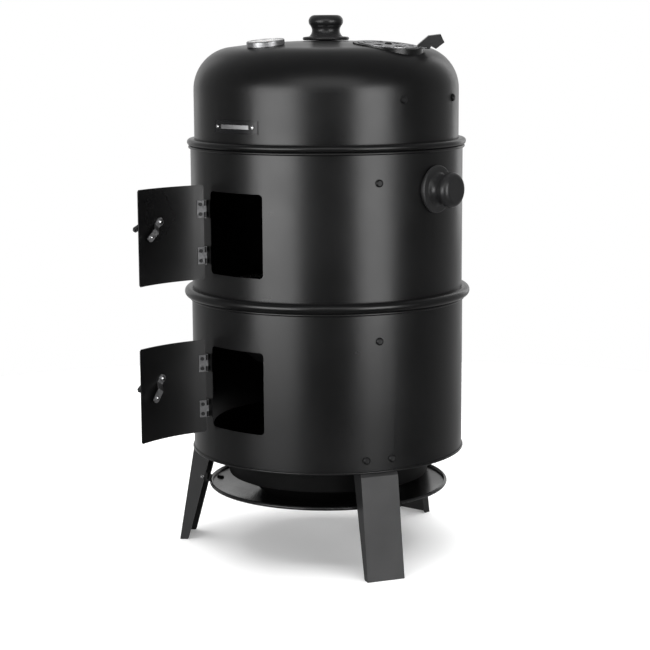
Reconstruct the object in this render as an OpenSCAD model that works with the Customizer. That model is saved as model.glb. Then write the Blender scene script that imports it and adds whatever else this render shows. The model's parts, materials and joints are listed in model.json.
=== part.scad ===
// Vertical water smoker: lid, upper section and lower section stacked on three legs.
// Millimetres, +Z up, floor at z = 0, axis of the barrel on the Z axis.
// Azimuths are measured from -Y and grow towards +X.

/* [Barrel] */
// Outside diameter of the lower section
body_d = 400; // [396:2:404]
// Height of the lower section, bottom edge to mid joint
lower_h = 228; // [224:1:232]
// Height of the upper section, mid joint to lid joint
upper_h = 221; // [218:1:226]
// Sheet thickness of the barrel and lid
sheet = 1; // [0.8:0.1:1]

/* [Lid] */
// Height of the lid, lid joint to crown
lid_h = 149.6; // [146:0.2:154]
// Outside diameter of the lid wall
lid_d = 386; // [382:2:388]
// Radius of the lid's rounded shoulder
shoulder_r = 61.4; // [58:0.2:64]
// Radius of the shallow dome on top of the lid
dome_r = 1093; // [1000:10:1200]

/* [Legs] */
// Height of the barrel's bottom edge above the floor
leg_h = 150; // [145:1:155]
// Width of a leg's web
leg_w = 56; // [50:1:58]
// Outward lean of a leg in degrees
leg_splay = 9.5; // [8:0.5:10]

/* [Doors] */
// Width of the door openings
opening_w = 100; // [96:0.2:101]
// Height of the door openings
opening_h = 117; // [110:1:118]
// Height of the door panels
door_h = 134; // [130:1:136]
// Angle that the upper door stands open
upper_open = 96; // [60:1:120]
// Angle that the lower door stands open
lower_open = 96; // [60:1:120]

/* [Bowls and grids] */
// Diameter of the charcoal bowl's rim
coal_d = 342; // [330:2:342]
// Diameter of the base pan's rim
pan_d = 357; // [345:1:358]
// Diameter of the water bowl's rim
water_d = 350; // [344:2:352]
// Diameter of a cooking grid, outside its ring
grid_d = 369; // [366:1:370]

/* [Hidden] */
$fn = 96;
eps = 0.01;
big = 400;

// Heights of the joints above the floor
z_base = leg_h;
z_mid = z_base + lower_h;
z_lid = z_mid + upper_h;
z_crown = z_lid + lid_h;

// Barrel radii
lower_r = body_d / 2;
upper_r = lower_r - 1;
skirt_gap = 0.4;
skirt_h = 16;
lip_r = 2.2;
mid_bead_r = 7;
mid_bead_out = lower_r + 10.5;
lid_bead_r = 4.75;
lid_bead_out = lower_r + 3.75;
wall_turn_r = 1.6;

// Lid profile: wall, shoulder arc and dome arc, tangent to each other
lid_r = lid_d / 2;
dome_z = z_crown - dome_r;
shoulder_c = lid_r - shoulder_r;
shoulder_z = dome_z + sqrt(pow(dome_r - shoulder_r, 2) - pow(shoulder_c, 2));
tangent_a = atan2(shoulder_z - dome_z, shoulder_c);

// Azimuths
leg_az = [21.15, 141.15, 261.15];
door_az = -41;
hinge_az = -57.9;
panel_az = [-57, -23.2];
knob_az = [50, 230];
vent_az = 47;
therm_az = -45;

// Fasteners
screw_r = 2.5;
screw_hole_r = 2.6;
screw_head_r = 5.4;
screw_head_h = 3;
nut_af = 8;
nut_h = 4;
rivet_r = 1.6;
rivet_head_r = 2.7;
rivet_head_h = 1.2;

// Legs
leg_t = 2;
leg_leaf_y = 196.9;
leg_leaf_h = 44;
leg_joggle = 3;
leg_joggle_h = 5;
leg_flange_top = 26;
leg_flange_foot = 13.5;
leg_screw_x = 19.5;
leg_screw_z = z_base + 19;

// Bowl and grid brackets
bracket_w = 20;
bracket_t = 1.5;
lower_bracket_z = z_base + 187;
upper_bracket_z = z_base + 406;
bowl_shelf_z = z_base + 208;
grid_lip_z = z_base + 233;
upper_shelf_z = z_base + 421;
grid_wire_r = 2.5;
bar_r = 1.6;
bar_pitch = 13;

// Base pan and its hangers
pan_edge_z = z_base - 57;
pan_floor_z = z_base - 69;
pan_floor_r = 108;
pan_rim_r = 2.6;
pan_hole_r = 166;
pan_slope = atan2(pan_edge_z - pan_floor_z, pan_d / 2 - 1 - pan_floor_r);
pan_seat_z = pan_floor_z + (pan_hole_r - pan_floor_r) * tan(pan_slope);
hanger_t = 1.5;
hanger_x = leg_w / 2 - leg_t - 0.1;

// Charcoal bowl
coal_rim_z = z_base + 36;
coal_floor_r = 98;
coal_knee_r = 116;

// Door furniture
pivot_from_edge = 43.5;
pivot_up = 20;
upper_tongue_a = -40;
lower_tongue_a = -55;
handle_lead = 17;
tongue_l = 37;
tongue_w = 10;
tip_rivet_x = 30;
upper_door_z = z_base + 332;
lower_door_z = z_base + 111;
hinge_up = 33;
hinge_half = 12;
panel_gap = 1.6;
corner_c = 2.5;
leaf_span = 3;
leaf_rivet_x = 9;
axis_gap = 3.9;
knuckle_r = 2.6;
pin_r = 1.5;
latch_r = 2;
run = 0.05;

// Knobs
knob_h = 30.5;
knob_flange_r = 33.7;
knob_flange_h = 5.5;
side_knob_z = z_base + 393;

// Lid furniture
vent_r = 120;
vent_tilt = 6.8;
vent_z = z_base + 592.5;
vent_pad_r = 50;
vent_pad_h = 14;
damper_r = 43;
damper_t = 1;
therm_r = 119.5;
therm_case_r = 26.9;
therm_h = 7.5;
therm_tilt = asin(therm_r / dome_r);
therm_z = dome_z + dome_r * cos(therm_tilt);
plate_az = [-53.8, -29];
plate_z = [z_base + 472, z_base + 491];
hanger_az = [33.4, 68.4];
hanger_screw_z = z_base + 518;

// ---------------------------------------------------------------- helpers

// Turns a child drawn on the -Y side to an azimuth
module at_az(a) {
    rotate([0, 0, a]) children();
}

// A cylinder that points outwards along -Y, from y = -from to y = -to
module radial_rod(r, from, to, x = 0, z = 0, sides = 48) {
    translate([x, -from, z]) rotate([90, 0, 0]) cylinder(r = r, h = to - from, $fn = sides);
}

// A curved strip of sheet between two radii, two azimuths and two heights
module arc_panel(r1, r2, a1, a2, z1, z2) {
    rotate([0, 0, a1 - 90])
        rotate_extrude(angle = a2 - a1, $fn = 180)
            translate([r1, z1]) square([r2 - r1, z2 - z1]);
}

// A flat rounded rectangle about the origin
module rounded_rect(w, h, r) {
    square([w, h - 2 * r], center = true);
    square([w - 2 * r, h], center = true);
    for (x = [-1, 1], y = [-1, 1])
        translate([x * (w / 2 - r), y * (h / 2 - r)]) circle(r = r, $fn = 32);
}

// A prism of a rounded rectangle that points outwards through the wall
module window(az, w, h, z, r = 6) {
    at_az(az) translate([0, -150, z]) rotate([90, 0, 0]) linear_extrude(height = 80)
        rounded_rect(w, h, r);
}

// A pan-head screw that points inwards, its head resting at y = -seat
module screw(x, z, seat, tail) {
    radial_rod(screw_r, tail, seat + eps, x, z);
    radial_rod(screw_head_r, seat, seat + screw_head_h * 0.45, x, z);
    translate([x, -seat - screw_head_h * 0.45, z]) rotate([90, 0, 0])
        cylinder(r1 = screw_head_r, r2 = screw_head_r * 0.62, h = screw_head_h * 0.55);
}

// A hexagon nut whose outer face lies at y = -seat
module nut(x, z, seat) {
    translate([x, -seat, z]) rotate([-90, 0, 0]) difference() {
        cylinder(d = nut_af / cos(30), h = nut_h, $fn = 6);
        translate([0, 0, -1]) cylinder(r = screw_r, h = nut_h + 2, $fn = 48);
    }
}

// A round-head rivet through sheet between two radii
module rivet(x, z, inner, outer) {
    radial_rod(rivet_r, inner - rivet_head_h + eps, outer + rivet_head_h - eps, x, z);
    for (y = [inner - rivet_head_h, outer])
        radial_rod(rivet_head_r, y, y + rivet_head_h, x, z);
}

// A cooking grid: a ring, parallel bars and two cross bars, with its ring's middle at z
module grid(z) {
    ring = grid_d / 2 - grid_wire_r;
    count = floor((ring - 4) / bar_pitch);
    translate([0, 0, z]) {
        rotate_extrude($fn = 180) translate([ring, 0]) circle(r = grid_wire_r, $fn = 32);
        for (i = [-count:count])
            translate([i * bar_pitch, 0, 0]) rotate([90, 0, 0])
                cylinder(r = bar_r, h = 2 * sqrt(pow(ring, 2) - pow(i * bar_pitch, 2)),
                    center = true, $fn = 24);
        for (y = [-90, 90])
            translate([0, y, -bar_r]) rotate([0, 90, 0])
                cylinder(r = 2, h = 2 * sqrt(pow(ring, 2) - pow(y, 2)), center = true, $fn = 24);
    }
}

// ---------------------------------------------------------------- barrel

// Half profile of a lid-shaped solid, "in" millimetres inside the outer surface
module lid_profile(in, foot_z) {
    wall = lid_r - in;
    arc_r = shoulder_r - in;
    translate([0, foot_z]) square([wall, shoulder_z - foot_z]);
    intersection() {
        translate([shoulder_c, shoulder_z]) circle(r = arc_r, $fn = 180);
        translate([shoulder_c, shoulder_z - 5]) square([arc_r + 1, arc_r + 6]);
    }
    intersection() {
        translate([0, dome_z]) circle(r = dome_r - in, $fn = 1440);
        translate([0, shoulder_z]) square([shoulder_c + arc_r * cos(tangent_a), big]);
    }
}

// Half profile of a round bead that stands out to radius "out" above height z
module bead_profile(z, r, out, in) {
    translate([0, z + in]) square([out - r, 2 * (r - in)]);
    translate([out - r, z + r]) circle(r = r - in, $fn = 48);
}

// Half profile of the rolled lip at the top of a section
module lip_profile(wall, z) {
    translate([wall + 0.9, z - lip_r - run]) circle(r = lip_r, $fn = 48);
}

module door_cut(rw, z) {
    window(door_az, opening_w, opening_h, z);
    for (s = [-1, 1])
        window(panel_az[0] + 3.6, 20, 2 * hinge_half + 3, z + s * hinge_up, 1);
    at_az(hinge_az) for (s = [-1, 1], t = [-1, 1])
        radial_rod(rivet_r, rw - 10, rw + 10, -12, z + s * hinge_up + t * 7);
}

module lower_shell() {
    color("#2b2b2d") difference() {
        rotate_extrude($fn = 180) {
            translate([lower_r - sheet, z_base]) square([sheet, lower_h - lip_r]);
            difference() {
                lip_profile(lower_r, z_mid);
                translate([0, z_base]) square([lower_r - sheet, lower_h]);
            }
            translate([lower_r + 0.6, z_base + wall_turn_r]) circle(r = wall_turn_r, $fn = 32);
        }
        door_cut(lower_r, lower_door_z);
        for (a = leg_az) at_az(a) {
            for (x = [-leg_screw_x, leg_screw_x])
                radial_rod(screw_hole_r, lower_r - 20, lower_r + 20, x, leg_screw_z);
            radial_rod(screw_hole_r, lower_r - 20, lower_r + 20, 0, lower_bracket_z);
        }
    }
}

module upper_shell() {
    color("#2b2b2d") difference() {
        rotate_extrude($fn = 180) {
            difference() {
                union() {
                    translate([0, z_mid + eps]) square([upper_r, upper_h - lip_r]);
                    bead_profile(z_mid, mid_bead_r, mid_bead_out, 0);
                    translate([0, z_mid - skirt_h])
                        square([lower_r - sheet - skirt_gap, skirt_h + mid_bead_r]);
                }
                translate([0, z_mid + mid_bead_r]) square([upper_r - sheet, upper_h]);
                bead_profile(z_mid, mid_bead_r, mid_bead_out, sheet);
                translate([0, z_mid - skirt_h - 1])
                    square([lower_r - 2 * sheet - skirt_gap, skirt_h + mid_bead_r + 2]);
            }
            difference() {
                lip_profile(upper_r, z_lid);
                translate([0, z_mid]) square([upper_r - sheet, upper_h]);
            }
        }
        door_cut(upper_r, upper_door_z);
        for (a = leg_az) at_az(a)
            radial_rod(screw_hole_r, upper_r - 20, upper_r + 20, 0, upper_bracket_z);
        for (a = knob_az) at_az(a)
            radial_rod(screw_hole_r, upper_r - 20, upper_r + 20, 0, side_knob_z);
    }
}

// Places a child on the lid's flat vent pad, +Z out of the pad
module on_vent_pad() {
    at_az(vent_az) translate([0, -vent_r, vent_z]) rotate([vent_tilt, 0, 0]) children();
}

// Places a child on the lid where the thermometer sits, +Z out of the lid
module on_therm_seat() {
    at_az(therm_az) translate([0, -therm_r, therm_z]) rotate([therm_tilt, 0, 0]) children();
}

// Six wedge-shaped air holes
module vent_holes(z1, z2) {
    for (i = [0:5]) rotate([0, 0, i * 60 - vent_az - 14]) translate([0, 0, z1])
        rotate_extrude(angle = 28, $fn = 96) translate([18, 0]) square([18, z2 - z1]);
}

module lid_shell() {
    color("#2b2b2d") difference() {
        union() {
            rotate_extrude($fn = 180) {
                lid_profile(0, z_lid + lid_bead_r);
                bead_profile(z_lid, lid_bead_r, lid_bead_out, 0);
                translate([0, z_lid - skirt_h])
                    square([upper_r - sheet - skirt_gap, skirt_h + lid_bead_r]);
            }
            on_vent_pad() translate([0, 0, -vent_pad_h]) cylinder(r = vent_pad_r, h = vent_pad_h);
        }
        rotate_extrude($fn = 180) {
            lid_profile(sheet, z_lid + lid_bead_r);
            bead_profile(z_lid, lid_bead_r, lid_bead_out, sheet);
            translate([0, z_lid - skirt_h - 1])
                square([upper_r - 2 * sheet - skirt_gap, skirt_h + lid_bead_r + 2]);
        }
        on_vent_pad() {
            translate([0, 0, -vent_pad_h - sheet]) cylinder(r = vent_pad_r - sheet, h = vent_pad_h);
            vent_holes(-4, 4);
            translate([0, 0, -4]) cylinder(r = screw_hole_r, h = 8, $fn = 48);
        }
        on_therm_seat() translate([0, 0, -8]) cylinder(r = 4.1, h = 16, $fn = 48);
        translate([0, 0, z_crown - 8]) cylinder(r = screw_hole_r, h = 16, $fn = 48);
        for (a = hanger_az) at_az(a)
            radial_rod(screw_hole_r, lid_r - 12, lid_r + 12, 0, hanger_screw_z);
        for (a = plate_rivet_az) at_az(a)
            radial_rod(rivet_r, lid_r - 12, lid_r + 12, 0, plate_rivet_z);
    }
}

// ---------------------------------------------------------------- legs and base

// A bent channel: its web drops from a leaf inside the wall, joggles out and splays
module leg(az) {
    bend_y = -leg_leaf_y;
    out_y = bend_y - leg_joggle;
    out_z = z_base - leg_joggle_h;
    foot_y = out_y - out_z * tan(leg_splay);
    top_z = z_base + leg_leaf_h;
    web = leg_t / cos(leg_splay);
    flange_y = foot_y + leg_flange_foot;
    color("#333335") at_az(az) difference() {
        union() {
            translate([-leg_w / 2, 0, 0]) rotate([90, 0, 90]) linear_extrude(height = leg_w)
                polygon([
                    [bend_y, top_z], [bend_y, z_base], [out_y, out_z], [foot_y, 0], [foot_y + web, 0],
                    [out_y + web, out_z], [bend_y + leg_t, z_base], [bend_y + leg_t, top_z]
                ]);
            for (x = [-leg_w / 2, leg_w / 2 - leg_t])
                translate([x, 0, 0]) rotate([90, 0, 90]) linear_extrude(height = leg_t)
                    polygon([
                        [bend_y, z_base + 26], [bend_y, z_base], [out_y, out_z], [foot_y, 0],
                        [flange_y - 3, 0], [flange_y - 0.9, 0.9], [flange_y, 3],
                        [bend_y + leg_flange_top, z_base], [bend_y + 12, z_base + 26]
                    ]);
        }
        for (x = [-leg_screw_x, leg_screw_x])
            radial_rod(screw_hole_r, leg_leaf_y - 10, leg_leaf_y + 10, x, leg_screw_z);
        on_pan_seat() hanger_rivet_rod(rivet_r, hanger_x - 5, hanger_x + 10);
    }
}

// Frame on the pan's sloping underside over a hanger, +Z out of the pan's inside
module on_pan_seat() {
    translate([0, -pan_hole_r, pan_seat_z]) rotate([-pan_slope, 0, 0]) children();
}

// A cylinder along X where a hanger is riveted to its leg's flange
module hanger_rivet_rod(r, x1, x2) {
    translate([x1, -23, 4]) rotate([0, 90, 0]) cylinder(r = r, h = x2 - x1, $fn = 48);
}

// Six leg screws, three bracket screws and three pan screws, all alike
module base_screws() {
    color("#3a3a3c") for (a = leg_az) at_az(a) {
        for (x = [-leg_screw_x, leg_screw_x])
            screw(x, leg_screw_z, lower_r - 0.4, leg_leaf_y - leg_t - nut_h - 2);
        screw(0, lower_bracket_z, lower_r + run, lower_r - 11);
        on_pan_seat() rotate([-90, 0, 0]) screw(0, 0, sheet + run, -hanger_t - nut_h - 2);
    }
}

module base_nuts() {
    color("silver") for (a = leg_az) at_az(a) {
        for (x = [-leg_screw_x, leg_screw_x])
            nut(x, leg_screw_z, leg_leaf_y - leg_t);
        nut(0, lower_bracket_z, bracket_leaf_r(lower_r) - bracket_t);
        on_pan_seat() rotate([-90, 0, 0]) nut(0, 0, -hanger_t - 2 * run);
    }
}

// Angle brackets that carry the pan: riveted inside a leg's flange, with a leaf under the pan
module pan_hangers() {
    color("#38383a") for (a = leg_az) at_az(a) on_pan_seat() difference() {
        union() {
            translate([-9, -38, -run - hanger_t]) cube([9 + hanger_x, 48, hanger_t]);
            translate([hanger_x - hanger_t, -38, -run - hanger_t]) cube([hanger_t, 22, 12]);
        }
        translate([0, 0, -5]) cylinder(r = screw_hole_r, h = 10, $fn = 48);
        hanger_rivet_rod(rivet_r, hanger_x - 10, hanger_x + 10);
    }
}

module hanger_rivets() {
    color("#d6d6d8") for (a = leg_az) at_az(a) on_pan_seat() {
        hanger_rivet_rod(rivet_r, hanger_x - hanger_t - 1, leg_w / 2 + 1);
        hanger_rivet_rod(rivet_head_r, hanger_x - hanger_t - rivet_head_h, hanger_x - hanger_t);
        hanger_rivet_rod(rivet_head_r, leg_w / 2, leg_w / 2 + rivet_head_h);
    }
}

module ash_pan() {
    rim = pan_d / 2;
    color("#2a2a2c") difference() {
        rotate_extrude($fn = 180) {
            polygon([
                [0, pan_floor_z], [pan_floor_r, pan_floor_z], [rim - 1, pan_edge_z],
                [rim - 1, pan_edge_z + 1], [pan_floor_r, pan_floor_z + 1], [0, pan_floor_z + 1]
            ]);
            translate([rim - pan_rim_r, pan_edge_z + pan_rim_r - 0.2]) circle(r = pan_rim_r, $fn = 48);
        }
        for (a = leg_az) at_az(a) on_pan_seat() translate([0, 0, -3])
            cylinder(r = screw_hole_r, h = 8, $fn = 48);
    }
}

module charcoal_bowl() {
    rim = coal_d / 2;
    floor_z = pan_floor_z + 1 + run;
    knee_z = floor_z + 16;
    color("#161617") rotate_extrude($fn = 180) {
        polygon([
            [0, floor_z], [coal_floor_r, floor_z], [coal_knee_r, knee_z],
            [148, z_base - 38], [rim - 5, coal_rim_z - 2], [rim - 2, coal_rim_z - 2],
            [rim - 2, coal_rim_z - 1], [rim - 6, coal_rim_z - 1], [147, z_base - 38],
            [coal_knee_r - 1, knee_z + 0.6], [coal_floor_r - 0.6, floor_z + 1], [0, floor_z + 1]
        ]);
        translate([rim - 2, coal_rim_z - 2]) circle(r = 2, $fn = 32);
    }
}

// ---------------------------------------------------------------- brackets, bowl, grids

function bracket_leaf_r(rw) = sqrt(pow(rw - sheet, 2) - pow(bracket_w / 2, 2)) - run;

// A strap screwed inside the wall, with a shelf; a second step is added when step_z > 0
module bracket(rw, screw_z, shelf_z, shelf_in, step_z) {
    leaf = bracket_leaf_r(rw);
    difference() {
        translate([-bracket_w / 2, -leaf, 0]) {
            translate([0, 0, screw_z - 11]) cube([bracket_w, bracket_t, shelf_z - screw_z + 11]);
            translate([0, 0, shelf_z - bracket_t]) cube([bracket_w, leaf - shelf_in, bracket_t]);
            if (step_z > 0) {
                translate([0, leaf - 186, shelf_z - bracket_t])
                    cube([bracket_w, bracket_t, step_z - shelf_z + bracket_t]);
                translate([0, leaf - 186, step_z - bracket_t]) cube([bracket_w, 8, bracket_t]);
            }
        }
        radial_rod(screw_hole_r, leaf - 10, leaf + 10, 0, screw_z);
    }
}

module lower_brackets() {
    color("#303032") for (a = leg_az) at_az(a)
        bracket(lower_r, lower_bracket_z, bowl_shelf_z, 166, grid_lip_z);
}

module upper_brackets() {
    color("#303032") for (a = leg_az) at_az(a)
        bracket(upper_r, upper_bracket_z, upper_shelf_z, 172, 0);
}

module upper_screws() {
    color("#3a3a3c") for (a = leg_az) at_az(a)
        screw(0, upper_bracket_z, upper_r + run, upper_r - 11);
}

module upper_nuts() {
    color("silver") {
        for (a = leg_az) at_az(a)
            nut(0, upper_bracket_z, bracket_leaf_r(upper_r) - bracket_t);
        for (a = knob_az) at_az(a) nut(0, side_knob_z, upper_r - sheet - 0.1);
    }
}

module water_bowl() {
    rim = water_d / 2;
    seat_z = bowl_shelf_z + run;
    floor_z = seat_z - 74;
    color("#19191a") rotate_extrude($fn = 180) {
        polygon([
            [0, floor_z], [112, floor_z], [128, floor_z + 14], [163, seat_z],
            [rim - 2, seat_z], [rim - 2, seat_z + 1], [162, seat_z + 1],
            [127, floor_z + 14.6], [111.4, floor_z + 1], [0, floor_z + 1]
        ]);
        translate([rim - 2, seat_z + 2]) circle(r = 2, $fn = 32);
    }
}

module lower_grid() {
    color("#c8c8ca") grid(grid_lip_z + grid_wire_r + run);
}

module upper_grid() {
    color("#c8c8ca") grid(upper_shelf_z + grid_wire_r + run);
}

// ---------------------------------------------------------------- doors

// Turns a child drawn with the door closed to the door's open angle
module swung(rw, angle) {
    at_az(hinge_az) translate([0, -(rw + axis_gap), 0]) rotate([0, 0, -angle])
        translate([0, rw + axis_gap, 0]) at_az(-hinge_az) children();
}

function pivot_az() = panel_az[1] - pivot_from_edge / lower_r * 180 / PI;

// Cuts a corner off a door: the sheet lies towards sx along X and sz along Z
module panel_corner(sx, z, sz) {
    translate([0, -190, z]) rotate([90, 0, 0]) linear_extrude(height = 40)
        polygon([
            [-sx * 3, -sz * 3], [sx * (corner_c + 3), -sz * 3], [-sx * 3, sz * (corner_c + 3)]
        ]);
}

module door_panel(rw, z, angle) {
    inner = rw + panel_gap;
    color("#2a2a2c") swung(rw, angle) difference() {
        arc_panel(inner, inner + sheet, panel_az[0], panel_az[1], z - door_h / 2, z + door_h / 2);
        for (i = [0, 1], t = [-1, 1]) at_az(panel_az[i]) panel_corner(1 - 2 * i, z + t * door_h / 2, -t);
        at_az(pivot_az()) radial_rod(latch_r + run, rw - 10, rw + 12, 0, z + pivot_up);
        at_az(hinge_az) for (s = [-1, 1], t = [-1, 1])
            radial_rod(rivet_r, rw - 10, rw + 10, leaf_rivet_x, z + s * hinge_up + t * 7);
    }
}

// One hinge knuckle about the door's axis, with its bore
module knuckle(rw, z1, z2) {
    at_az(hinge_az) translate([0, -(rw + axis_gap), z1]) cylinder(r = knuckle_r, h = z2 - z1, $fn = 48);
}

module pin_bore(rw, z, r) {
    at_az(hinge_az) translate([0, -(rw + axis_gap), z - 30]) cylinder(r = r, h = 60, $fn = 48);
}

module door_hinges(rw, z, angle) {
    color("#b9b9ba") swung(rw, angle) for (s = [-1, 1]) {
        c = z + s * hinge_up;
        difference() {
            union() {
                knuckle(rw, c - 4.3, c + 4.3);
                arc_panel(rw + 0.5, rw + panel_gap, hinge_az, panel_az[0] + eps, c - 4.3, c + 4.3);
                arc_panel(rw + 0.5, rw + panel_gap, panel_az[0], panel_az[0] + leaf_span,
                    c - hinge_half, c + hinge_half);
            }
            pin_bore(rw, c, pin_r + run);
            at_az(hinge_az) for (t = [-1, 1]) radial_rod(rivet_r, rw - 10, rw + 10, leaf_rivet_x, c + t * 7);
        }
    }
}

module door_rivets(rw, z, angle) {
    color("#2c2c2e") swung(rw, angle) at_az(hinge_az) for (s = [-1, 1], t = [-1, 1])
        rivet(leaf_rivet_x, z + s * hinge_up + t * 7, rw - 0.1, rw + panel_gap + sheet);
}

// A point at x along the wall and d outside it, in the frame of the hinge's azimuth
function wall_at(rw, x, d) = [x, -sqrt(pow(rw + d, 2) - x * x)];

module frame_hinges(rw, z) {
    leaf_xs = [-2.5, -11, -19.5];
    leaf = concat([for (x = leaf_xs) wall_at(rw, x, 0.1)], [for (i = [2:-1:0]) wall_at(rw, leaf_xs[i], 1.2)]);
    color("#38383a") at_az(hinge_az) for (s = [-1, 1]) translate([0, 0, z + s * hinge_up]) difference() {
        union() {
            translate([0, 0, -hinge_half]) linear_extrude(height = 2 * hinge_half) polygon(leaf);
            for (k = [-hinge_half, 4.5]) translate([0, 0, k]) linear_extrude(height = hinge_half - 4.5) {
                translate([0, -(rw + axis_gap)]) circle(r = knuckle_r, $fn = 48);
                polygon([
                    [-6, -(rw + 0.6)], [-0.9, -(rw + 0.6)], [-0.9, -(rw + 2.2)], [-6, -(rw + 0.9)]
                ]);
            }
        }
        translate([0, -(rw + axis_gap), -30]) cylinder(r = pin_r, h = 60, $fn = 48);
        for (t = [-1, 1]) radial_rod(rivet_r, rw - 10, rw + 10, -12, t * 7);
    }
}

module frame_rivets(rw, z) {
    color("#2c2c2e") at_az(hinge_az) for (s = [-1, 1], t = [-1, 1])
        rivet(-12, z + s * hinge_up + t * 7, rw - sheet - 0.6, rw + 1);
}

module hinge_pins(rw, z) {
    color("silver") at_az(hinge_az) for (s = [-1, 1])
        translate([0, -(rw + axis_gap), z + s * hinge_up]) {
            cylinder(r = pin_r, h = 2 * hinge_half, center = true, $fn = 48);
            for (t = [-1, 1]) translate([0, 0, t * (hinge_half + 0.5)])
                cylinder(r = 2.3, h = 1, center = true, $fn = 48);
        }
}

// Frame of a latch: origin on its pivot at the barrel's wall, +X along the tongue,
// -Y outwards, for a tongue that leans by tongue_a
module latch_frame(rw, z, angle, tongue_a) {
    swung(rw, angle) at_az(pivot_az()) translate([0, -rw, z + pivot_up])
        rotate([0, -tongue_a, 0]) children();
}

// Z-bent tongue that turns behind the edge of the opening
module latch_tongue(rw, z, angle, tongue_a) {
    color("#77777a") latch_frame(rw, z, angle, tongue_a) difference() {
        intersection() {
            rotate([90, 0, 0]) translate([0, 0, -12]) linear_extrude(height = 20) {
                circle(r = tongue_w / 2 + 1, $fn = 48);
                translate([0, -tongue_w / 2]) square([tongue_l - tongue_w / 2, tongue_w]);
                translate([tongue_l - tongue_w / 2, 0]) circle(r = tongue_w / 2, $fn = 48);
            }
            translate([0, 0, -20]) linear_extrude(height = 40) polygon([
                [-10, -1.3], [8, -1.3], [18, 6.2], [50, 6.2], [50, 7.7], [17, 7.7],
                [7.3, 0.2], [-10, 0.2]
            ]);
        }
        radial_rod(latch_r, -30, 30);
        radial_rod(rivet_r, -30, 30, tip_rivet_x);
    }
}

module latch_pivot(rw, z, angle, tongue_a) {
    color("#d6d6d8") latch_frame(rw, z, angle, tongue_a) {
        radial_rod(latch_r, -1.4, 6);
        radial_rod(3.6, -1.8, -0.2);
        radial_rod(3.2, 2.8, 4.2);
        radial_rod(rivet_r, -8.6, -5.4, tip_rivet_x);
        radial_rod(2.5, -8.7, -7.7, tip_rivet_x);
        radial_rod(2.5, -6.2, -5.2, tip_rivet_x);
    }
}

// Outer handle: a bent rod with a sleeve for a grip
module latch_handle(rw, z, angle, tongue_a) {
    stand_off = 24;
    color("#3b3b3d") latch_frame(rw, z, angle, tongue_a) {
        radial_rod(1.9, 6, stand_off);
        translate([0, -stand_off, 0]) sphere(r = 2.2, $fn = 32);
        translate([0, -stand_off, 0]) rotate([0, 90 - handle_lead, 0])
            rotate_extrude($fn = 64) {
                square([1.9, 30]);
                translate([0, 4]) square([4.1, 25]);
            }
    }
}

module lower_door_panel() { door_panel(lower_r, lower_door_z, lower_open); }
module lower_door_hinges() { door_hinges(lower_r, lower_door_z, lower_open); }
module lower_door_rivets() { door_rivets(lower_r, lower_door_z, lower_open); }
module lower_frame_hinges() { frame_hinges(lower_r, lower_door_z); }
module lower_frame_rivets() { frame_rivets(lower_r, lower_door_z); }
module lower_hinge_pins() { hinge_pins(lower_r, lower_door_z); }
module lower_latch_tongue() { latch_tongue(lower_r, lower_door_z, lower_open, lower_tongue_a); }
module lower_latch_pivot() { latch_pivot(lower_r, lower_door_z, lower_open, lower_tongue_a); }
module lower_latch_handle() { latch_handle(lower_r, lower_door_z, lower_open, lower_tongue_a); }
module upper_door_panel() { door_panel(upper_r, upper_door_z, upper_open); }
module upper_door_hinges() { door_hinges(upper_r, upper_door_z, upper_open); }
module upper_door_rivets() { door_rivets(upper_r, upper_door_z, upper_open); }
module upper_frame_hinges() { frame_hinges(upper_r, upper_door_z); }
module upper_frame_rivets() { frame_rivets(upper_r, upper_door_z); }
module upper_hinge_pins() { hinge_pins(upper_r, upper_door_z); }
module upper_latch_tongue() { latch_tongue(upper_r, upper_door_z, upper_open, upper_tongue_a); }
module upper_latch_pivot() { latch_pivot(upper_r, upper_door_z, upper_open, upper_tongue_a); }
module upper_latch_handle() { latch_handle(upper_r, upper_door_z, upper_open, upper_tongue_a); }

// ---------------------------------------------------------------- knobs

// Turned knob standing on +Z, with a blind bore for its bolt
module knob() {
    difference() {
        rotate_extrude($fn = 96) difference() {
            union() {
                square([25.5, 3.2]);
                square([22, knob_h - 14]);
                translate([0, knob_h - 17.8]) square([16.1, 17.8]);
                translate([16.1, knob_h - 8.9]) circle(r = 8.9, $fn = 64);
            }
            translate([31, 8.5]) circle(r = 10.8, $fn = 64);
        }
        translate([0, 0, -1]) cylinder(r = screw_r, h = 19, $fn = 48);
    }
}

module knob_flange() {
    difference() {
        rotate_extrude($fn = 96) difference() {
            union() {
                polygon([
                    [0, 0], [knob_flange_r - 2.4, 0], [knob_flange_r - 2.4, 4.8],
                    [25, knob_flange_h], [0, knob_flange_h]
                ]);
                translate([knob_flange_r - 2.4, 2.4]) circle(r = 2.4, $fn = 48);
            }
            translate([-1, -2]) square([knob_flange_r + 5, 2]);
        }
        translate([0, 0, -1]) cylinder(r = screw_hole_r, h = 10, $fn = 48);
    }
}

// Height of a side knob's flange above the wall, where it clears the curve
side_seat = 0.1;

module side_knob(az) {
    color("#1f1f20") at_az(az) translate([0, -(upper_r + side_seat + knob_flange_h), side_knob_z])
        rotate([90, 0, 0]) knob();
}

module right_knob() { side_knob(knob_az[0]); }
module left_knob() { side_knob(knob_az[1]); }

// Flanges saddle the curved wall
module knob_flanges() {
    color("#242425") for (a = knob_az) at_az(a) difference() {
        translate([0, -upper_r - side_seat, side_knob_z]) rotate([90, 0, 0]) {
            knob_flange();
            translate([0, 0, -3]) difference() {
                cylinder(r = knob_flange_r - 2.5, h = 4, $fn = 96);
                translate([0, 0, -1]) cylinder(r = screw_hole_r, h = 6, $fn = 48);
            }
        }
        cylinder(r = upper_r + side_seat, h = 2 * big + 200, $fn = 180);
    }
}

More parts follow.
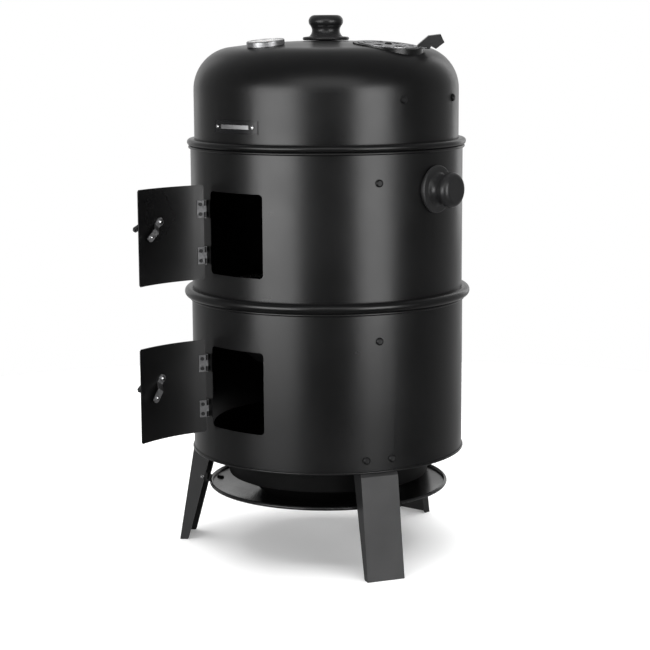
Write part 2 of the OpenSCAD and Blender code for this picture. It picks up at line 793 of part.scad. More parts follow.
// A bolt from inside the wall into a knob that stands on +Z
module knob_bolt(under) {
    translate([0, 0, -under]) cylinder(r = screw_r, h = under + knob_flange_h + 15, $fn = 48);
}

module knob_bolts() {
    color("silver") for (a = knob_az) at_az(a)
        translate([0, -upper_r - side_seat, side_knob_z]) rotate([90, 0, 0]) knob_bolt(7);
}

module lid_knob() {
    color("#1f1f20") translate([0, 0, z_crown + 0.1 + knob_flange_h]) knob();
}

module lid_knob_flange() {
    color("#242425") translate([0, 0, z_crown + 0.1]) knob_flange();
}

module lid_knob_bolt() {
    color("silver") translate([0, 0, z_crown + 0.1]) {
        knob_bolt(sheet + 0.1 + 1);
        translate([0, 0, -sheet - 4.2]) cylinder(d = nut_af / cos(30), h = 4, $fn = 6);
    }
}

// ---------------------------------------------------------------- lid furniture

plate_rivet_az = [-51, -31.5];
plate_rivet_z = (plate_z[0] + plate_z[1]) / 2;

// Strap inside the lid with a hook, so that the lid hangs on the barrel's rim
module lid_hanger() {
    mid = (hanger_az[0] + hanger_az[1]) / 2;
    outer = lid_r - sheet - run;
    color("#38383a") difference() {
        union() {
            arc_panel(outer - 1.5, outer, hanger_az[0] - 2.5, hanger_az[1] + 2.5,
                hanger_screw_z - 8, hanger_screw_z + 8);
            at_az(mid) translate([-9, 0, 0]) {
                translate([0, -outer + 0.4, hanger_screw_z - 8]) cube([18, 20, 1.5]);
                translate([0, -outer + 18.9, hanger_screw_z - 28]) cube([18, 1.5, 21]);
            }
        }
        for (a = hanger_az) at_az(a) radial_rod(screw_hole_r, lid_r - 20, lid_r + 5, 0, hanger_screw_z);
    }
}

module hanger_screws() {
    color("#3a3a3c") for (a = hanger_az) at_az(a)
        screw(0, hanger_screw_z, lid_r + run, lid_r - 10);
}

module hanger_nuts() {
    color("silver") for (a = hanger_az) at_az(a)
        nut(0, hanger_screw_z, lid_r - sheet - 1.6);
}

module nameplate() {
    color("#101011") difference() {
        arc_panel(lid_r + run, lid_r + 1, plate_az[0], plate_az[1], plate_z[0], plate_z[1]);
        for (a = plate_rivet_az) at_az(a)
            radial_rod(rivet_r, lid_r - 12, lid_r + 12, 0, plate_rivet_z);
    }
}

module nameplate_rivets() {
    color("#d6d6d8") for (a = plate_rivet_az) at_az(a)
        rivet(0, plate_rivet_z, lid_r - sheet - run, lid_r + 1);
}

module thermometer_case() {
    color("#c4c4c6") on_therm_seat() translate([0, 0, run]) difference() {
        union() {
            cylinder(r = therm_case_r - 1, h = therm_h - 1, $fn = 96);
            translate([0, 0, 1]) cylinder(r = therm_case_r, h = therm_h - 2, $fn = 96);
            translate([0, 0, therm_h - 1]) cylinder(r1 = therm_case_r, r2 = therm_case_r - 1, h = 1, $fn = 96);
        }
        translate([0, 0, 1]) cylinder(r = therm_case_r - 2.2, h = therm_h, $fn = 96);
        translate([0, 0, -1]) cylinder(r = 4.1, h = 4, $fn = 48);
    }
}

module thermometer_dial() {
    color("#e9e9e6") on_therm_seat() difference() {
        translate([0, 0, 3.6]) cylinder(r = therm_case_r - 2.25, h = 0.8, $fn = 96);
        translate([0, 0, 3]) cylinder(r = 1.3, h = 3, $fn = 48);
    }
}

module thermometer_needle() {
    color("#b3261e") on_therm_seat() rotate([0, 0, 140]) difference() {
        union() {
            translate([0, 0, 4.7]) cylinder(r = 2.4, h = 0.8, $fn = 48);
            translate([0, 0, 4.7]) linear_extrude(height = 0.6)
                polygon([[-1.5, -7], [1.5, -7], [0.5, 19], [-0.5, 19]]);
        }
        translate([0, 0, 4.3]) cylinder(r = 1 + run, h = 2, $fn = 48);
    }
}

module thermometer_lens() {
    color([0.9, 0.95, 1, 0.35]) on_therm_seat()
        translate([0, 0, 6]) cylinder(r = therm_case_r - 2.25, h = 1.3, $fn = 96);
}

// Threaded neck, probe and the spindle that carries the needle
module thermometer_stem() {
    color("#c4c4c6") on_therm_seat() {
        translate([0, 0, -14]) cylinder(r = 4, h = 16, $fn = 48);
        translate([0, 0, 1.2]) cylinder(r = 6, h = 2, $fn = 48);
        translate([0, 0, -52]) cylinder(r = 2.2, h = 40, $fn = 48);
        translate([0, 0, -52]) sphere(r = 2.2, $fn = 48);
        translate([0, 0, 3]) cylinder(r = 1, h = 2.8, $fn = 48);
    }
}

module thermometer_nut() {
    color("silver") on_therm_seat() translate([0, 0, -6]) difference() {
        cylinder(d = 15, h = 4, $fn = 6);
        translate([0, 0, -1]) cylinder(r = 4, h = 6, $fn = 48);
    }
}

module vent_damper() {
    color("#3c3c3e") on_vent_pad() difference() {
        union() {
            translate([0, 0, 0.1]) cylinder(r = damper_r, h = damper_t, $fn = 180);
            translate([0, 0, 0.1]) rotate([0, 0, -vent_az]) translate([0, -6, 0])
                cube([vent_pad_r + 4, 12, damper_t]);
        }
        vent_holes(-1, 3);
        translate([0, 0, -1]) cylinder(r = screw_r + run, h = 4, $fn = 48);
    }
}

module vent_rivet() {
    color("#1c1c1e") on_vent_pad() {
        translate([0, 0, -3]) cylinder(r = screw_r, h = 4.6, $fn = 48);
        translate([0, 0, 1.2]) cylinder(r = 5, h = 1.2, $fn = 48);
        translate([0, 0, 2.4]) cylinder(r1 = 5, r2 = 3, h = 1, $fn = 48);
        translate([0, 0, -3]) cylinder(r = 5, h = 1.9, $fn = 48);
    }
}

// Folded grip on the damper's arm
module vent_lever() {
    color("#1b1b1c") on_vent_pad() rotate([0, 0, -vent_az]) translate([0, 6, 0])
        rotate([90, 0, 0]) linear_extrude(height = 12) difference() {
            polygon([[40, 1.1], [42, 4], [55, 17], [72, 20.5], [78, 10], [67, 0], [60, 3],
                [58, -1], [51.5, -1], [51.5, 1.1]]);
            translate([36, 0.1]) square([vent_pad_r + 4 - 36 + run, damper_t]);
        }
}

// ---------------------------------------------------------------- assembly

lower_shell();
leg(leg_az[0]);  // leg_front
leg(leg_az[1]);  // leg_rear
leg(leg_az[2]);  // leg_left
base_screws();
base_nuts();
lower_brackets();
ash_pan();
pan_hangers();
hanger_rivets();
charcoal_bowl();
water_bowl();
lower_grid();
lower_frame_hinges();
lower_frame_rivets();
lower_hinge_pins();
lower_door_panel();
lower_door_hinges();
lower_door_rivets();
lower_latch_tongue();
lower_latch_pivot();
lower_latch_handle();
upper_shell();
upper_brackets();
upper_screws();
upper_nuts();
right_knob();
left_knob();
knob_flanges();
knob_bolts();
upper_grid();
upper_frame_hinges();
upper_frame_rivets();
upper_hinge_pins();
upper_door_panel();
upper_door_hinges();
upper_door_rivets();
upper_latch_tongue();
upper_latch_pivot();
upper_latch_handle();
lid_shell();
lid_knob();
lid_knob_flange();
lid_knob_bolt();
lid_hanger();
hanger_screws();
hanger_nuts();
nameplate();
nameplate_rivets();
thermometer_case();
thermometer_dial();
thermometer_needle();
thermometer_lens();
thermometer_stem();
thermometer_nut();
vent_damper();
vent_rivet();
vent_lever();
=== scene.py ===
"""Looks of the vertical water smoker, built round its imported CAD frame."""

import json
import math

import bmesh
import bpy
from mathutils import Matrix, Vector


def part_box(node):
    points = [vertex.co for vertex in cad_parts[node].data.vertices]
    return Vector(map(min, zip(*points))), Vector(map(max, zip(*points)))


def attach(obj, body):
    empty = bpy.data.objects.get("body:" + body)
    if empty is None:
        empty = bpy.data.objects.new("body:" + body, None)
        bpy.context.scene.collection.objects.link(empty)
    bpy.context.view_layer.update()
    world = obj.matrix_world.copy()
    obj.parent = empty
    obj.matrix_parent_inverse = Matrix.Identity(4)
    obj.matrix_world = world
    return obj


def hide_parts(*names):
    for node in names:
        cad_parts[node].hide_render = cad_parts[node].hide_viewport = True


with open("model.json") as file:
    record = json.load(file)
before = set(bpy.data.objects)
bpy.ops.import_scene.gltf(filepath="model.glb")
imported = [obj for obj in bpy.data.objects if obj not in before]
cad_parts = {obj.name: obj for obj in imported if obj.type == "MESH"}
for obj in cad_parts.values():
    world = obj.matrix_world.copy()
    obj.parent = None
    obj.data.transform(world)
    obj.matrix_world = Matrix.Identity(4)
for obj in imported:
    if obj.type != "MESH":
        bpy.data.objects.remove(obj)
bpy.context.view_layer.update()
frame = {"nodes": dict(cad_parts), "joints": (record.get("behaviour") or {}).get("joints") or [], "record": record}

MM = 0.001
NODES = frame["nodes"]
JOINTS = {joint["name"]: joint for joint in frame["joints"]}

# ---------------------------------------------------------------- camera, lights and floor
#
# Lengths are in metres. Azimuths are in degrees: 0 is the camera's side, and they grow towards +X.

CAMERA_DISTANCE = 2.64
CAMERA_HEIGHT = 0.7636
CAMERA_PITCH = math.radians(9.33)
CAMERA_LENS = 99.53
CAMERA_SHIFT = -0.0037
CAMERA_ROLL = math.radians(-0.3)

# Name, azimuth, distance, height, width, tall and radiance of each softbox that stands upright
SOFTBOXES = (
    ("key_left", -42, 2.6, 0.55, 1.80, 1.26, 5.0),
    ("key_right", 39, 2.6, 0.55, 1.30, 1.26, 5.2),
    ("upper_fill", 0, 2.7, 2.0, 3.4, 1.5, 1.2),
    ("back_left", -146, 2.8, 1.2, 0.5, 2.0, 0.5),
    ("back_right", 146, 2.8, 1.2, 0.5, 2.0, 1.2),
)

# The studio's brightness by direction, from the camera's side (-1) to behind the object (1)
STUDIO_LEVELS = (
    (-1, 0.012), (-0.2, 0.026), (0.1, 0.13), (0.5, 0.24), (0.8, 0.4), (0.93, 0.7), (1, 0.8),
)

FLOOR_RADIUS = 1.5
FLOOR_SIDES = 96
FLOOR_COLOR = (0.9, 0.9, 0.9, 1)
FLOOR_GLOW = 0.22


def make_camera():
    """The photograph's viewpoint: in front of the door side, a little above the lid."""
    data = bpy.data.cameras.new("camera")
    data.lens = CAMERA_LENS
    data.shift_x = CAMERA_SHIFT
    camera = bpy.data.objects.new("camera", data)
    bpy.context.scene.collection.objects.link(camera)
    camera.location = (0, -CAMERA_DISTANCE, CAMERA_HEIGHT)
    level = Matrix.Rotation(math.pi / 2 - CAMERA_PITCH, 3, "X")
    camera.rotation_euler = (level @ Matrix.Rotation(CAMERA_ROLL, 3, "Z")).to_euler()
    bpy.context.scene.camera = camera


def softbox(name, azimuth, distance, height, width, tall, radiance, glossy=True, target=None):
    """A studio softbox that faces the object's axis, at its own height or at a target height."""
    data = bpy.data.lights.new(name, "AREA")
    data.shape = "RECTANGLE"
    data.size, data.size_y = width, tall
    data.energy = radiance * math.pi * width * tall
    light = bpy.data.objects.new(name, data)
    bpy.context.scene.collection.objects.link(light)
    a = math.radians(azimuth)
    light.location = (distance * math.sin(a), -distance * math.cos(a), height)
    aim = Vector((0, 0, height if target is None else target)) - light.location
    light.rotation_euler = aim.to_track_quat("-Z", "Y").to_euler()
    light.visible_glossy = glossy


def make_world():
    """A white studio: bright behind the object, dim in front of it, plain white to the camera."""
    world = bpy.data.worlds.new("studio")
    world.use_nodes = True
    bpy.context.scene.world = world
    nodes, links = world.node_tree.nodes, world.node_tree.links
    nodes.clear()
    coords = nodes.new("ShaderNodeTexCoord")
    split = nodes.new("ShaderNodeSeparateXYZ")
    unit = nodes.new("ShaderNodeMapRange")
    unit.inputs["From Min"].default_value = -1.0
    ramp = nodes.new("ShaderNodeValToRGB")
    ramp.color_ramp.interpolation = "B_SPLINE"
    stops = ramp.color_ramp.elements
    for y, level in STUDIO_LEVELS:
        stop = stops.new((y + 1) / 2)
        stop.color = (level, level, level, 1)
    stops.remove(stops[0])
    stops.remove(stops[-1])
    lit = nodes.new("ShaderNodeBackground")
    backdrop = nodes.new("ShaderNodeBackground")
    backdrop.inputs["Color"].default_value = (1, 1, 1, 1)
    path = nodes.new("ShaderNodeLightPath")
    mix = nodes.new("ShaderNodeMixShader")
    out = nodes.new("ShaderNodeOutputWorld")
    links.new(coords.outputs["Generated"], split.inputs[0])
    links.new(split.outputs["Y"], unit.inputs["Value"])
    links.new(unit.outputs["Result"], ramp.inputs["Fac"])
    links.new(ramp.outputs["Color"], lit.inputs["Color"])
    links.new(path.outputs["Is Camera Ray"], mix.inputs["Fac"])
    links.new(lit.outputs[0], mix.inputs[1])
    links.new(backdrop.outputs[0], mix.inputs[2])
    links.new(mix.outputs[0], out.inputs["Surface"])


def make_floor():
    """A pale round sheet of studio board."""
    mesh = bpy.data.meshes.new("floor")
    angles = [2 * math.pi * i / FLOOR_SIDES for i in range(FLOOR_SIDES)]
    rim = [(FLOOR_RADIUS * math.cos(a), FLOOR_RADIUS * math.sin(a), 0) for a in angles]
    mesh.from_pydata(rim, [], [range(FLOOR_SIDES)])
    floor = bpy.data.objects.new("floor", mesh)
    bpy.context.scene.collection.objects.link(floor)
    pale = bpy.data.materials.new("floor_pale")
    pale.use_nodes = True
    shader = pale.node_tree.nodes["Principled BSDF"]
    shader.inputs["Base Color"].default_value = FLOOR_COLOR
    shader.inputs["Roughness"].default_value = 0.8
    shader.inputs["Emission Color"].default_value = (1, 1, 1, 1)
    shader.inputs["Emission Strength"].default_value = FLOOR_GLOW
    mesh.materials.append(pale)
    floor.visible_glossy = False
    floor.visible_shadow = False


def make_stage():
    make_camera()
    make_world()
    make_floor()
    for settings in SOFTBOXES:
        softbox(*settings)
    softbox("overhead", 0, 0.01, 3.4, 4.5, 4.5, 3.6, glossy=False, target=0)
    bpy.context.scene.view_settings.view_transform = "Standard"


make_stage()

# ---------------------------------------------------------------- materials


class Material:
    """A node material with a Principled shader and short ways to add texture to it."""

    def __init__(self, name, color, roughness, metallic=0.0):
        self.material = bpy.data.materials.new(name)
        self.material.use_nodes = True
        self.nodes = self.material.node_tree.nodes
        self.links = self.material.node_tree.links
        self.shader = self.nodes["Principled BSDF"]
        self.shader.inputs["Base Color"].default_value = (*color, 1)
        self.shader.inputs["Roughness"].default_value = roughness
        self.shader.inputs["Metallic"].default_value = metallic
        self.coords = self.nodes.new("ShaderNodeTexCoord").outputs["Object"]
        self.height = None

    def noise(self, scale, detail):
        """A 0 to 1 noise texture in object space."""
        node = self.nodes.new("ShaderNodeTexNoise")
        node.inputs["Scale"].default_value = scale
        node.inputs["Detail"].default_value = detail
        self.links.new(self.coords, node.inputs["Vector"])
        return node.outputs["Fac"]

    def spread(self, value, low, high, start=0.3, end=0.7):
        """Maps the stretch of a texture from start to end to a range from low to high."""
        node = self.nodes.new("ShaderNodeMapRange")
        numbers = {"From Min": start, "From Max": end, "To Min": low, "To Max": high}
        for key, number in numbers.items():
            node.inputs[key].default_value = number
        self.links.new(value, node.inputs["Value"])
        return node.outputs["Result"]

    def mix_color(self, factor, a, b):
        """Mixes two colours by a texture."""
        node = self.nodes.new("ShaderNodeMix")
        node.data_type = "RGBA"
        self.links.new(factor, node.inputs["Factor"])
        node.inputs["A"].default_value = (*a, 1)
        node.inputs["B"].default_value = (*b, 1)
        return node.outputs["Result"]

    def set(self, socket, value):
        self.links.new(value, self.shader.inputs[socket])

    def bump(self, value, depth):
        """Adds a height texture whose full range is depth metres."""
        node = self.nodes.new("ShaderNodeBump")
        node.inputs["Strength"].default_value = 1.0
        node.inputs["Distance"].default_value = depth
        self.links.new(value, node.inputs["Height"])
        if self.height is not None:
            self.links.new(self.height, node.inputs["Normal"])
        self.height = node.outputs["Normal"]
        self.set("Normal", self.height)


def black_paint(name, color, roughness, grain=1.0, gloss=0.5):
    """Satin paint, enamel or plastic: orange peel, cloudy gloss and faint dust."""
    m = Material(name, color, roughness)
    m.shader.inputs["Specular IOR Level"].default_value = gloss
    cloud = m.noise(scale=9, detail=4)
    dust = m.noise(scale=60, detail=5)
    m.set("Roughness", m.spread(cloud, roughness - 0.04, roughness + 0.05))
    darker = tuple(c * 0.85 for c in color)
    m.set("Base Color", m.mix_color(m.spread(dust, 0, 1, 0.35, 0.75), darker, color))
    m.bump(m.noise(scale=420, detail=2), 0.00004 * grain)
    m.bump(m.noise(scale=2600, detail=2), 0.000012 * grain)
    return m.material


def metal(name, color, roughness):
    """Bare or plated metal, finely mottled and slightly stained."""
    m = Material(name, color, roughness, metallic=1.0)
    mottle = m.noise(scale=350, detail=3)
    m.set("Roughness", m.spread(mottle, roughness * 0.75, roughness * 1.3))
    dull = tuple(c * 0.9 for c in color)
    stain = m.noise(scale=45, detail=4)
    m.set("Base Color", m.mix_color(m.spread(stain, 0, 1), dull, color))
    m.bump(mottle, 0.00001)
    return m.material


def glass(name):
    """Clear glass with faint smears."""
    m = Material(name, (1, 1, 1), 0.04)
    m.shader.inputs["Transmission Weight"].default_value = 1.0
    m.shader.inputs["IOR"].default_value = 1.45
    m.set("Roughness", m.spread(m.noise(scale=30, detail=3), 0.02, 0.07))
    return m.material


# One material for each of the record's slots
MATERIALS = {
    "black_paint": black_paint("black_paint", (0.0048, 0.0048, 0.005), 0.31),
    "leg_paint": black_paint("leg_paint", (0.017, 0.017, 0.0176), 0.46, grain=1.5),
    "pan_paint": black_paint("pan_paint", (0.010, 0.010, 0.0103), 0.24),
    "black_screw": black_paint("black_screw", (0.006, 0.006, 0.0063), 0.42, grain=0.5, gloss=0.3),
    "zinc": metal("zinc", (0.18, 0.18, 0.184), 0.5),
    "grid_chrome": metal("grid_chrome", (0.72, 0.72, 0.73), 0.28),
    "latch_steel": metal("latch_steel", (0.46, 0.46, 0.47), 0.42),
    "bright_rivet": metal("bright_rivet", (0.85, 0.85, 0.86), 0.22),
    "handle_black": black_paint("handle_black", (0.020, 0.020, 0.021), 0.42),
    "knob_plastic": black_paint("knob_plastic", (0.014, 0.014, 0.0145), 0.34, grain=0.7),
    "flange_black": black_paint("flange_black", (0.018, 0.018, 0.0185), 0.38, grain=0.7),
    "plate_black": black_paint("plate_black", (0.008, 0.008, 0.009), 0.25, grain=0.4),
    "case_steel": metal("case_steel", (0.50, 0.50, 0.51), 0.45),
    "dial_white": black_paint("dial_white", (0.62, 0.62, 0.60), 0.45, grain=0.3),
    "needle_red": black_paint("needle_red", (0.45, 0.03, 0.02), 0.40, grain=0.3),
    "lens_glass": glass("lens_glass"),
}
# The two bowls get their own enamel, darker than the pan's. Its dark colour is painted shade, for bowls that sit
# in the shade of the barrel and the pan.
SHADE_DARK_NODES = ("charcoal_bowl", "water_bowl")
SHADE_DARK_ENAMEL = black_paint("shade_dark_enamel", (0.004, 0.004, 0.0041), 0.55, grain=1.5, gloss=0.22)


def dress_cad_nodes():
    """Gives every CAD node its slot's material, and the two bowls a darker enamel whose dark colour is painted
    shade.
    """
    for row in frame["record"]["subparts"]:
        node = NODES[row["node"]]
        in_shade = row["node"] in SHADE_DARK_NODES
        node.data.materials.clear()
        node.data.materials.append(SHADE_DARK_ENAMEL if in_shade else MATERIALS[row["material_slot"]])


dress_cad_nodes()

# ---------------------------------------------------------------- mesh helpers


def add_piece(name, mesh, body, slot):
    """Links a finished mesh in world metres as a piece that rides on a CAD body."""
    mesh.materials.append(MATERIALS[slot])
    piece = bpy.data.objects.new(name, mesh)
    bpy.context.scene.collection.objects.link(piece)
    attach(piece, body)
    return piece


def mesh_from(name, verts, faces, smooth=True):
    """A mesh whose faces all point outwards."""
    mesh = bpy.data.meshes.new(name)
    mesh.from_pydata(verts, [], faces)
    build = bmesh.new()
    build.from_mesh(mesh)
    bmesh.ops.recalc_face_normals(build, faces=build.faces)
    build.to_mesh(mesh)
    build.free()
    for polygon in mesh.polygons:
        polygon.use_smooth = smooth
    return mesh


def circle(center, side, other, radius, count):
    """Points of a circle in the plane of two unit vectors."""
    angles = [2 * math.pi * k / count for k in range(count)]
    return [center + radius * (math.cos(a) * side + math.sin(a) * other) for a in angles]


def side_quads(first, rings, count):
    """Quads that join rings of count vertices, which follow one another from vertex first."""
    quads = []
    for i in range(rings - 1):
        for k in range(count):
            a, b = first + i * count + k, first + i * count + (k + 1) % count
            quads.append((a, b, b + count, a + count))
    return quads


def ring_face(first, count):
    """The face that closes a ring of count vertices, which begins at vertex first."""
    return tuple(range(first, first + count))


def tube(points, radius, sides, verts, faces):
    """Adds a closed round tube along a path of points to lists of vertices and faces."""
    first = len(verts)
    tangents = [(points[min(i + 1, len(points) - 1)] - points[max(i - 1, 0)]).normalized()
                for i in range(len(points))]
    side = tangents[0].orthogonal().normalized()
    for point, tangent in zip(points, tangents):
        side = (side - tangent * side.dot(tangent)).normalized()
        verts.extend(circle(point, side, tangent.cross(side), radius, sides))
    faces.extend(side_quads(first, len(points), sides))
    faces.append(ring_face(first, sides)[::-1])
    faces.append(ring_face(len(verts) - sides, sides))


DOME_RINGS = 6
DOME_SIDES = 32


def dome(center, axis, radius, height, verts, faces):
    """Adds a closed low dome that stands on a point along an axis."""
    first = len(verts)
    side = axis.orthogonal().normalized()
    other = axis.cross(side)
    for i in range(DOME_RINGS):
        a = math.pi / 2 * i / DOME_RINGS
        middle = center + axis * (height * math.sin(a))
        verts.extend(circle(middle, side, other, radius * math.cos(a), DOME_SIDES))
    top = len(verts)
    last = top - DOME_SIDES
    verts.append(center + axis * height)
    faces.extend(side_quads(first, DOME_RINGS, DOME_SIDES))
    faces.extend((last + k, last + (k + 1) % DOME_SIDES, top) for k in range(DOME_SIDES))
    faces.append(ring_face(first, DOME_SIDES)[::-1])


def wall_seat(azimuth, radius, z, x=0.0):
    """A point by the round wall, x to the side of an azimuth, and that azimuth's direction."""
    a = math.radians(azimuth)
    out = Vector((math.sin(a), -math.cos(a), 0))
    across = Vector((math.cos(a), math.sin(a), 0))
    return out * radius + across * x + Vector((0, 0, z)), out


# ---------------------------------------------------------------- latches

# Degrees that each latch's handle and tongue fall below the door's level line at rest
HANDLE_DROPS = {"upper": 23, "lower": 38}
TONGUE_DROPS = {"upper": 40, "lower": 55}

# Distance of the tip rivet from the pivot
TIP_REACH = 30 * MM

# Depth behind the pivot, radius and height of the round rivet heads on a latch's inner side
PIVOT_HEAD = (1.75 * MM, 3.5 * MM, 1.7 * MM)
TIP_HEAD = (8.65 * MM, 2.5 * MM, 1.2 * MM)

# Distance of a handle's grip from the pivot, along the pivot's axis
GRIP_STAND_OFF = 24 * MM
ROD_RADIUS, ROD_SIDES = 1.9 * MM, 20
WIRE_RADIUS, WIRE_SIDES = 1.02 * MM, 10


def latch_frame(level, drop):
    """Pivot, outward normal and the direction in the door's plane that falls by drop degrees."""
    joint = JOINTS[f"{level}_latch_pivot"]
    pivot, normal = Vector(joint["pos_m"]), Vector(joint["axis"])
    across = Vector((-normal.y, normal.x, 0))
    a = math.radians(drop)
    return pivot, normal, math.cos(a) * across - math.sin(a) * Vector((0, 0, 1))


def handle_rod(pivot, out, along):
    """The rod's path: out from the pivot, round a quarter bend and along the grip."""
    root, step, bend, reach = 6 * MM, 3 * MM, 4 * MM, 30 * MM
    bend_steps, grip_steps = 8, 6
    path = [pivot + out * (root + step * i) for i in range(5)]
    for i in range(bend_steps + 1):
        a = math.pi / 2 * i / bend_steps
        rise, run = bend * math.sin(a), bend * (1 - math.cos(a))
        path.append(pivot + out * (GRIP_STAND_OFF - bend + rise) + along * run)
    for i in range(1, grip_steps + 1):
        run = bend + (reach - bend) * i / grip_steps
        path.append(pivot + out * GRIP_STAND_OFF + along * run)
    return path


def handle_coil(pivot, out, along):
    """The coil's path: a close helix round the grip."""
    start, end, pitch, radius = 5.2 * MM, 28 * MM, 2.2 * MM, 2.98 * MM
    turn_steps = 24
    up = along.cross(out)
    count = int((end - start) / pitch * turn_steps)
    path = []
    for i in range(count + 1):
        a = 2 * math.pi * i / turn_steps
        center = pivot + out * GRIP_STAND_OFF + along * (start + (end - start) * i / count)
        path.append(center + radius * (math.cos(a) * out + math.sin(a) * up))
    return path


def coil_handle(level, drop):
    """The wire handle of a latch: a bent rod inside a close coil of thinner wire."""
    axes = latch_frame(level, drop)
    verts, faces = [], []
    tube(handle_rod(*axes), ROD_RADIUS, ROD_SIDES, verts, faces)
    tube(handle_coil(*axes), WIRE_RADIUS, WIRE_SIDES, verts, faces)
    name = f"{level}_coil_handle"
    piece = add_piece(name, mesh_from(name, verts, faces), f"{level}_latch", "handle_black")
    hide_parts(f"{level}_latch_handle")


def latch_domes(level, drop):
    """Round heads on the inner ends of a latch's pivot and tip rivets."""
    pivot, out, along = latch_frame(level, drop)
    heads = (("pivot_head", 0.0, PIVOT_HEAD), ("tip_head", TIP_REACH, TIP_HEAD))
    for part, reach, (depth, radius, height) in heads:
        verts, faces = [], []
        dome(pivot - out * depth + along * reach, -out, radius, height, verts, faces)
        name = f"{level}_{part}"
        add_piece(name, mesh_from(name, verts, faces), f"{level}_latch", "bright_rivet")


for latch_level, handle_drop in HANDLE_DROPS.items():
    coil_handle(latch_level, handle_drop)
for latch_level, tongue_drop in TONGUE_DROPS.items():
    latch_domes(latch_level, tongue_drop)

# ---------------------------------------------------------------- blank plate

# Azimuths are in degrees, and so is the width of the border's upright strips
PLATE_RADIUS = 0.194
PLATE_LEFT, PLATE_RIGHT = -53.5, -29.3
BAR_LEFT, BAR_RIGHT = -49, -33.5
BAR_HALF_HEIGHT = 3 * MM
BORDER_WIDTH, BORDER_HEIGHT = 0.3, 1.0 * MM
BORDER_INSET = 0.8 * MM
PLATE_RIVETS = (-51, -31.5)
PLATE_RIVET_SEAT = PLATE_RADIUS + 1.15 * MM
PLATE_RIVET_RADIUS, PLATE_RIVET_HEIGHT = 2.65 * MM, 1.3 * MM


def curved_strips(name, strips, slot):
    """Raised strips on the lid's plate, each one between two azimuths and two heights."""
    inner, outer = PLATE_RADIUS - 0.1 * MM, PLATE_RADIUS + 0.35 * MM
    bevel, steps, corners = 0.2 * MM, 36, 4
    verts, faces = [], []
    for a1, a2, z1, z2 in strips:
        first = len(verts)
        profile = ((inner, z1), (outer, z1 + bevel), (outer, z2 - bevel), (inner, z2))
        for i in range(steps + 1):
            a = math.radians(a1 + (a2 - a1) * i / steps)
            verts.extend((radius * math.sin(a), -radius * math.cos(a), z) for radius, z in profile)
        faces.extend(side_quads(first, steps + 1, corners))
        faces.append(ring_face(first, corners))
        faces.append(ring_face(first + corners * steps, corners)[::-1])
    add_piece(name, mesh_from(name, verts, faces, smooth=False), "lid", slot)


def dress_plate():
    """A plain dark border, a plain bright bar and round rivet heads on the blank plate."""
    low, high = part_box("nameplate")
    z1, z2 = low[2] + BORDER_INSET, high[2] - BORDER_INSET
    mid = (z1 + z2) / 2
    inner_z1, inner_z2 = z1 + BORDER_HEIGHT, z2 - BORDER_HEIGHT
    border = [(PLATE_LEFT, PLATE_RIGHT, z1, inner_z1),
              (PLATE_LEFT, PLATE_RIGHT, inner_z2, z2),
              (PLATE_LEFT, PLATE_LEFT + BORDER_WIDTH, inner_z1, inner_z2),
              (PLATE_RIGHT - BORDER_WIDTH, PLATE_RIGHT, inner_z1, inner_z2)]
    bar = [(BAR_LEFT, BAR_RIGHT, mid - BAR_HALF_HEIGHT, mid + BAR_HALF_HEIGHT)]
    curved_strips("plate_border", border, "plate_black")
    curved_strips("plate_bar", bar, "case_steel")
    verts, faces = [], []
    for azimuth in PLATE_RIVETS:
        center, out = wall_seat(azimuth, PLATE_RIVET_SEAT, mid)
        dome(center, out, PLATE_RIVET_RADIUS, PLATE_RIVET_HEIGHT, verts, faces)
    name = "plate_rivet_heads"
    add_piece(name, mesh_from(name, verts, faces), "lid", "bright_rivet")


dress_plate()

# ---------------------------------------------------------------- dial

# Angles are in degrees, and lengths in millimetres from the dial's pivot
TICKS = 31
FIRST_TICK, TICK_STEP = -135, 9
LONG_TICK_EVERY = 5
LONG_TICK, SHORT_TICK = (3.6, 0.45), (2.0, 0.25)
TICK_OUTER = 23.4
TICK_HEIGHTS = (4.35, 4.5)


def dial_marks():
    """Ticks round the dial, every fifth one longer and wider."""
    joint = JOINTS["thermometer_needle_turn"]
    pivot, normal = Vector(joint["pos_m"]), Vector(joint["axis"])
    side = normal.orthogonal().normalized()
    other = normal.cross(side)
    verts, faces = [], []
    for i in range(TICKS):
        a = math.radians(FIRST_TICK + TICK_STEP * i)
        long, wide = SHORT_TICK if i % LONG_TICK_EVERY else LONG_TICK
        inner = TICK_OUTER - long
        corners = ((TICK_OUTER, -wide), (TICK_OUTER, wide), (inner, wide), (inner, -wide))
        ray = math.cos(a) * side + math.sin(a) * other
        edge = normal.cross(ray)
        first = len(verts)
        for z in TICK_HEIGHTS:
            verts.extend(pivot + normal * z * MM + ray * r * MM + edge * w * MM
                         for r, w in corners)
        faces.append(ring_face(first, len(corners)))
        faces.append(ring_face(first + len(corners), len(corners))[::-1])
        faces.extend(side_quads(first, 2, len(corners)))
    name = "dial_marks"
    add_piece(name, mesh_from(name, verts, faces, smooth=False), "lid", "plate_black")


dial_marks()
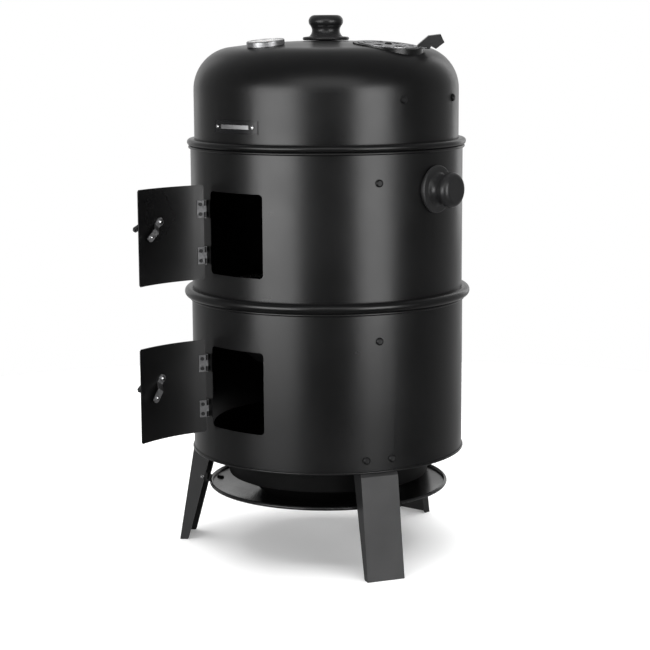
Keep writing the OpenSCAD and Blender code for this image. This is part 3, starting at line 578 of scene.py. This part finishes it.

# ---------------------------------------------------------------- screw recesses, as painted shade

LEG_AZIMUTHS = (21.15, 141.15, 261.15)
LID_AZIMUTHS = (33.4, 68.4)
LEG_SCREW_X = (-0.0195, 0.0195)

# Distance from the object's axis, and height above the floor, of the faces of the screw heads
LEG_HEADS = (0.2026, 0.169)
BRACKET_HEADS = (0.20305, 0.337)
UPPER_HEADS = (0.20205, 0.556)
LID_HEADS = (0.19605, 0.668)

# Degrees that a set's first cross is turned by, and each next one more
CROSS_TURN, CROSS_TURN_STEP = 17, 24
CROSS_ARM, CROSS_HALF_WIDTH = 2.5 * MM, 0.45 * MM
CROSS_HEIGHTS = (-0.1 * MM, 0.04 * MM)


def paint_recess_shade(name, body, seats):
    """The cross recesses of screw heads, as flat dark inlays whose dark is painted shade for the hollow: one cross
    on each seat.
    """
    arm, half = CROSS_ARM, CROSS_HALF_WIDTH
    outline = [(arm, -half), (arm, half), (half, half),
               (half, arm), (-half, arm), (-half, half),
               (-arm, half), (-arm, -half), (-half, -half),
               (-half, -arm), (half, -arm), (half, -half)]
    corners = len(outline)
    verts, faces = [], []
    for i, (center, out) in enumerate(seats):
        across = Vector((-out.y, out.x, 0)).normalized()
        up = out.cross(across)
        turn = math.radians(CROSS_TURN + CROSS_TURN_STEP * i)
        u = math.cos(turn) * across + math.sin(turn) * up
        v = out.cross(u)
        first = len(verts)
        for h in CROSS_HEIGHTS:
            verts.extend(center + out * h + u * x + v * y for x, y in outline)
        faces.append(ring_face(first, corners)[::-1])
        faces.append(ring_face(first + corners, corners))
        faces.extend(side_quads(first, 2, corners))
    add_piece(name, mesh_from(name, verts, faces, smooth=False), body, "black_screw")


leg_seats = [wall_seat(a, *LEG_HEADS, x) for a in LEG_AZIMUTHS for x in LEG_SCREW_X]
bracket_seats = [wall_seat(a, *BRACKET_HEADS) for a in LEG_AZIMUTHS]
upper_seats = [wall_seat(a, *UPPER_HEADS) for a in LEG_AZIMUTHS]
lid_seats = [wall_seat(a, *LID_HEADS) for a in LID_AZIMUTHS]
# Each cross is a flat dark inlay, painted shade where a real screw head has a hollow recess.
paint_recess_shade("leg_screw_recess_shade", "base", leg_seats + bracket_seats)
paint_recess_shade("upper_screw_recess_shade", "upper_section", upper_seats)
paint_recess_shade("lid_screw_recess_shade", "lid", lid_seats)
